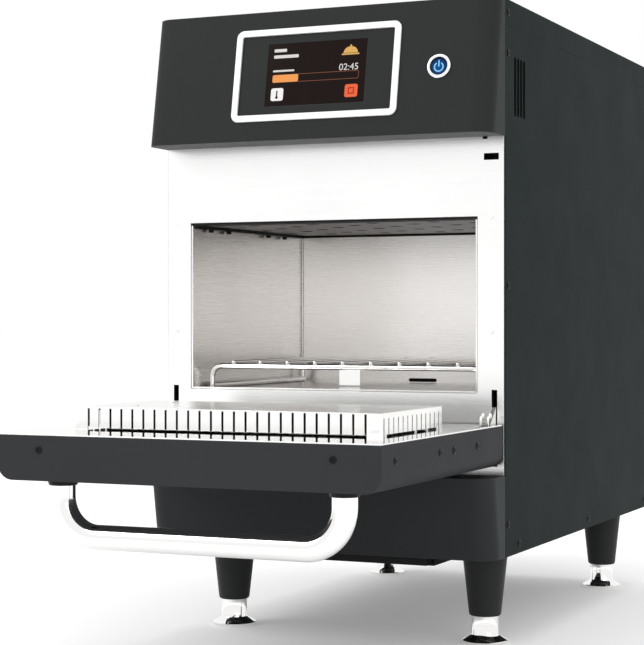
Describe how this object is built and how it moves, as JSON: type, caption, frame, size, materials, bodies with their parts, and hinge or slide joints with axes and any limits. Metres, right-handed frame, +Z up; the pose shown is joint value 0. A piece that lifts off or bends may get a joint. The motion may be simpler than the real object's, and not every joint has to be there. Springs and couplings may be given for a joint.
{
  "type": "high-speed oven",
  "caption": "Narrow countertop high-speed oven with a drop-down door, stainless front and cavity, slanted touch display housing, tube handle and levelling feet.",
  "frame": {"origin": "on the floor under the middle of the whole outline, with the door open", "axes": "+Z up, +Y to the rear of the oven, +X to the right seen from the front; the door opens towards -Y"},
  "size_m": [0.3822, 0.915, 0.652],
  "materials": {
    "black_paint": "satin powder coat, near black",
    "black_steel": "blackened steel",
    "black_plastic": "moulded, fine grain",
    "stainless": "brushed",
    "polished_steel": "polished",
    "silver_ring": "satin anodised",
    "screen": "gloss black touch screen",
    "blue_button": "lit from behind",
    "galvanised": "galvanised sheet",
    "aluminium": "as cast and as woven",
    "insulation": "ceramic fibre blanket",
    "circuit_board": "glass fibre board"
  },
  "bodies": {
    "cabinet": {"side_panel_left": "black_paint", "side_panel_right": "black_paint", "top_cover": "black_paint", "casing_screws": "black_steel", "chassis_base": "black_paint", "rear_panel": "black_paint", "cable_gland": "black_plastic", "front_frame": "stainless", "control_housing": "black_paint", "display_ring": "silver_ring", "display_glass": "screen", "display_module": "black_plastic", "power_button_bezel": "polished_steel", "power_switch": "black_plastic", "lower_front_cover": "black_paint", "cavity_liner": "stainless", "floor_plate": "stainless", "top_jet_plate": "black_steel", "jet_plate_rails": "black_steel", "cavity_insulation": "insulation", "hinge_arms": "polished_steel", "hinge_pins": "polished_steel", "hinge_receivers": "black_steel", "interlock_switch": "black_plastic", "legs": "black_plastic", "filter_rails": "black_steel", "cooling_fan_frame": "black_plastic", "waveguide": "galvanised", "magnetron": "galvanised", "stirrer_motor": "aluminium", "blower_housing": "galvanised", "heating_element": "polished_steel", "blower_motor": "aluminium", "catalytic_converter": "black_steel", "component_shelf": "galvanised", "power_board": "circuit_board", "transformer": "galvanised", "capacitor": "aluminium"},
    "door": {"door_outer_skin": "black_paint", "door_end_cap": "black_paint", "door_screws": "black_steel", "door_inner_plate": "polished_steel", "door_insulation": "insulation", "hinge_channels": "galvanised", "hinge_springs": "galvanised", "choke_cover": "polished_steel", "interlock_tongue": "polished_steel", "door_handle": "stainless", "handle_pads": "black_steel"},
    "power_button": {"power_button": "blue_button"},
    "rack": {"wire_rack": "polished_steel"},
    "air_filter": {"air_filter": "black_steel"},
    "blower": {"blower_wheel": "galvanised", "blower_shaft": "polished_steel"},
    "cooling_fan": {"cooling_fan_wheel": "black_plastic"},
    "stirrer": {"stirrer": "aluminium"},
    "foot_front_left": {"foot_front_left": "polished_steel"},
    "foot_front_right": {"foot_front_right": "polished_steel"},
    "foot_rear_left": {"foot_rear_left": "polished_steel"},
    "foot_rear_right": {"foot_rear_right": "polished_steel"}
  },
  "joints": [
    {"name": "door_hinge", "type": "hinge", "parent": "cabinet", "child": "door", "pos_m": [0, -0.15825, 0.2158], "axis": [-1, 0, 0], "range_deg": [0, 90]},
    {"name": "power_button_press", "type": "slide", "parent": "cabinet", "child": "power_button", "axis": [0, 0.9846, -0.175], "range_m": [0, 0.002], "stiffness_N_per_m": 500},
    {"name": "rack_lift", "type": "slide", "parent": "cabinet", "child": "rack", "axis": [0, 0, 1], "range_m": [0, 0.08]},
    {"name": "filter_slide", "type": "slide", "parent": "cabinet", "child": "air_filter", "axis": [0, -1, 0], "range_m": [0, 0.22]},
    {"name": "blower_spin", "type": "hinge", "parent": "cabinet", "child": "blower", "pos_m": [0, 0.17505, 0.36], "axis": [0, 1, 0], "continuous": true},
    {"name": "cooling_fan_spin", "type": "hinge", "parent": "cabinet", "child": "cooling_fan", "pos_m": [0, -0.01445, 0.118], "axis": [0, 0, 1], "continuous": true},
    {"name": "stirrer_spin", "type": "hinge", "parent": "cabinet", "child": "stirrer", "pos_m": [0, 0.00455, 0.248], "axis": [0, 0, 1], "continuous": true},
    {"name": "foot_front_left_turn", "type": "hinge", "parent": "cabinet", "child": "foot_front_left", "pos_m": [-0.145, -0.06645, 0.02], "axis": [0, 0, 1], "continuous": true},
    {"name": "foot_front_right_turn", "type": "hinge", "parent": "cabinet", "child": "foot_front_right", "pos_m": [0.145, -0.06645, 0.02], "axis": [0, 0, 1], "continuous": true},
    {"name": "foot_rear_left_turn", "type": "hinge", "parent": "cabinet", "child": "foot_rear_left", "pos_m": [-0.145, 0.37655, 0.02], "axis": [0, 0, 1], "continuous": true},
    {"name": "foot_rear_right_turn", "type": "hinge", "parent": "cabinet", "child": "foot_rear_right", "pos_m": [0.145, 0.37655, 0.02], "axis": [0, 0, 1], "continuous": true}
  ]
}
